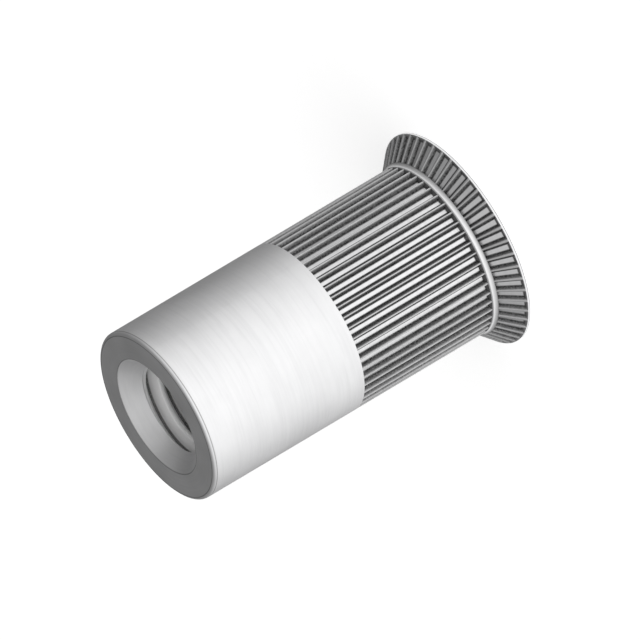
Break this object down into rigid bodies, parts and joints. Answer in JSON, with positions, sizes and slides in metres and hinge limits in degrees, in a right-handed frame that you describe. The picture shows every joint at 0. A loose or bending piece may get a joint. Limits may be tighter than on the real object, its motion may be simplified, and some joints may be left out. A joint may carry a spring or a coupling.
{
  "type": "countersunk rivet nut",
  "caption": "Open-ended countersunk rivet nut: a plain threaded barrel, a knurled thin skirt and a ribbed cone head.",
  "frame": {"origin": "centre of the flat head face", "axes": "+Z along the nut's axis, from the head towards the open threaded end; +X through the middle of a groove between two ridges"},
  "size_m": [0.0124, 0.0124, 0.0197],
  "materials": {
    "zinc_steel": "satin zinc-plated steel, with fine turning marks and darker grooves"
  },
  "bodies": {
    "root": {"rivet_nut": "zinc_steel"}
  },
  "joints": []
}
